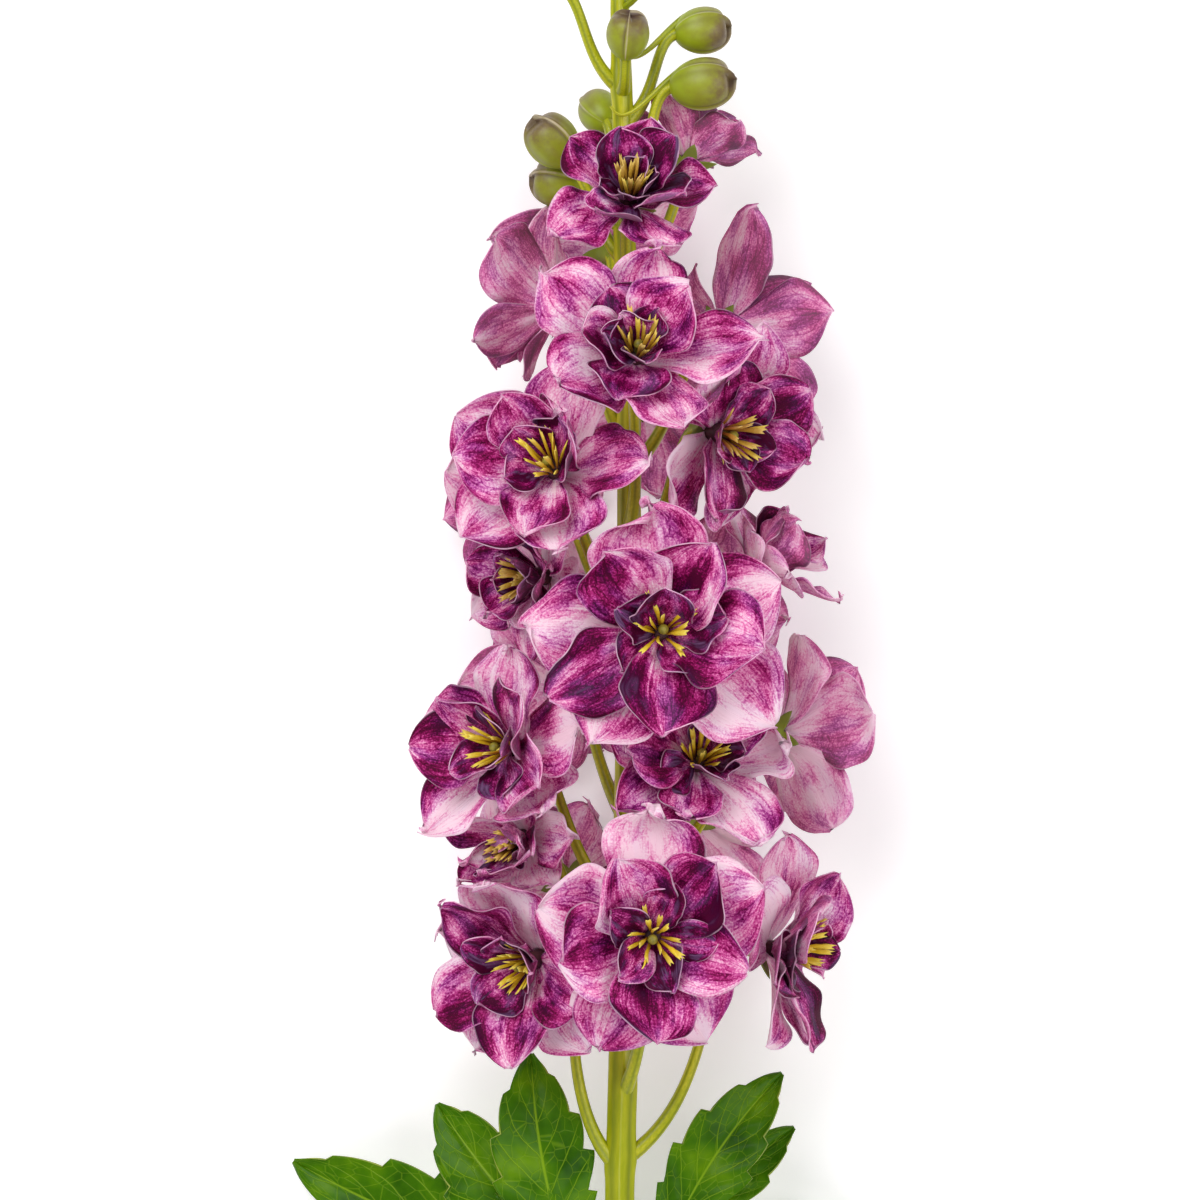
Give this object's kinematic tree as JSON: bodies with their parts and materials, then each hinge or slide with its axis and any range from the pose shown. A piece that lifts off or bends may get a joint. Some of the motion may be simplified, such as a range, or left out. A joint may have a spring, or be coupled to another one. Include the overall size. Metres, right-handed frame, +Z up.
{
  "type": "delphinium flower spike",
  "caption": "Cut delphinium flower spike lying on its side: open double florets with yellow stamens round a green stem, closed buds at the tip and two lobed leaves below.",
  "frame": {"origin": "on the surface that the spike lies on, under the middle of its outer box", "axes": "+Y runs along the stem from the cut end to the tip, +Z is up, away from the surface, and +X is to the right of the stem"},
  "size_m": [0.1506, 0.4806, 0.1041],
  "materials": {
    "petals": "satin petal, pale pink to dark purple",
    "stamens": "matt yellow anthers",
    "stem": "satin yellow-green stem",
    "buds": "satin green bud with a purple tinge",
    "leaves": "satin dark green leaf"
  },
  "bodies": {
    "root": {"bud_01": "buds", "bud_02": "buds", "bud_03": "buds", "bud_04": "buds", "bud_05": "buds", "bud_06": "buds", "bud_07": "buds", "floret_01_petals": "petals", "floret_01_stamens": "stamens", "floret_02_petals": "petals", "floret_02_stamens": "stamens", "floret_03_petals": "petals", "floret_03_stamens": "stamens", "floret_04_petals": "petals", "floret_04_stamens": "stamens", "floret_05_petals": "petals", "floret_05_stamens": "stamens", "floret_06_petals": "petals", "floret_06_stamens": "stamens", "floret_07_petals": "petals", "floret_07_stamens": "stamens", "floret_08_petals": "petals", "floret_08_stamens": "stamens", "floret_09_petals": "petals", "floret_09_stamens": "stamens", "floret_10_petals": "petals", "floret_10_stamens": "stamens", "floret_11_petals": "petals", "floret_11_stamens": "stamens", "floret_12_petals": "petals", "floret_12_stamens": "stamens", "floret_13_petals": "petals", "floret_13_stamens": "stamens", "floret_14_petals": "petals", "floret_14_stamens": "stamens", "floret_15_petals": "petals", "floret_15_stamens": "stamens", "floret_16_petals": "petals", "floret_16_stamens": "stamens", "floret_17_petals": "petals", "floret_17_stamens": "stamens", "floret_18_petals": "petals", "floret_18_stamens": "stamens", "floret_19_petals": "petals", "floret_19_stamens": "stamens", "floret_20_petals": "petals", "floret_20_stamens": "stamens", "floret_21_petals": "petals", "floret_21_stamens": "stamens", "floret_22_petals": "petals", "floret_22_stamens": "stamens", "floret_23_petals": "petals", "floret_23_stamens": "stamens", "floret_24_petals": "petals", "floret_24_stamens": "stamens", "leaf_left": "leaves", "leaf_right": "leaves", "stem": "stem"}
  },
  "joints": []
}
